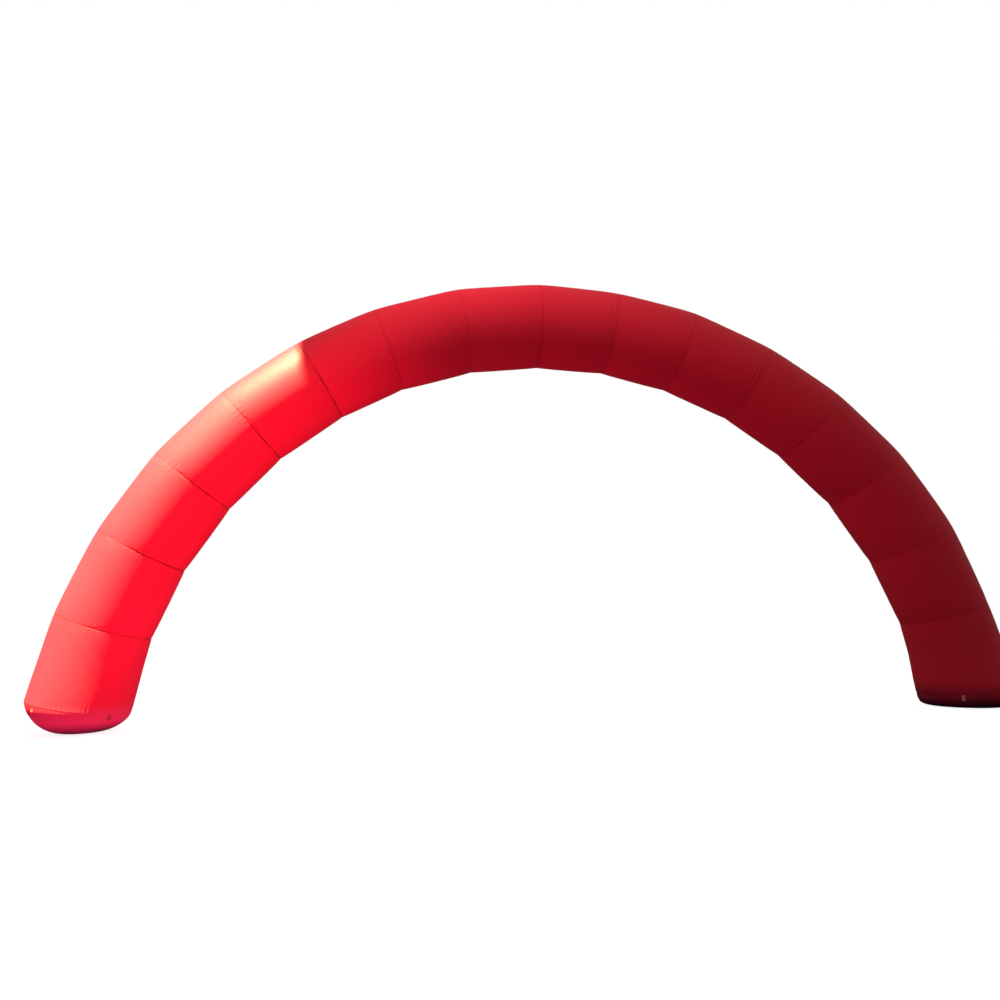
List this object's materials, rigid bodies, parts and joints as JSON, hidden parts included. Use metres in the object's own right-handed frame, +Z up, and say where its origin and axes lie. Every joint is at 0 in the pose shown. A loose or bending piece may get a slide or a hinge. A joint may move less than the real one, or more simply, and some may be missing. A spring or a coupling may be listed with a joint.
{
  "type": "inflatable arch",
  "caption": "Half-round inflatable arch of coated cloth: a fat air-filled tube sewn from short rings, standing on two domed feet with small tether tabs.",
  "frame": {"origin": "on the ground, under the middle of the arch", "axes": "+X along the span, from the left foot to the right foot as seen from the front; +Y from the front to the back, along the passage; +Z up"},
  "size_m": [14.9276, 1.4284, 6.9282],
  "materials": {
    "arch_cloth": "coated polyester, plain weave, satin",
    "tether_webbing": "woven polyester webbing, matt"
  },
  "bodies": {
    "root": {"ring_01": "arch_cloth", "ring_02": "arch_cloth", "ring_03": "arch_cloth", "ring_04": "arch_cloth", "ring_05": "arch_cloth", "ring_06": "arch_cloth", "ring_07": "arch_cloth", "ring_08": "arch_cloth", "ring_09": "arch_cloth", "ring_10": "arch_cloth", "ring_11": "arch_cloth", "ring_12": "arch_cloth", "ring_13": "arch_cloth", "ring_14": "arch_cloth", "ring_15": "arch_cloth", "ring_16": "arch_cloth", "foot_cap_left": "arch_cloth", "foot_cap_right": "arch_cloth", "tether_tab_left_outer": "tether_webbing", "tether_tab_left_inner": "tether_webbing", "tether_tab_right_inner": "tether_webbing", "tether_tab_right_outer": "tether_webbing"}
  },
  "joints": []
}
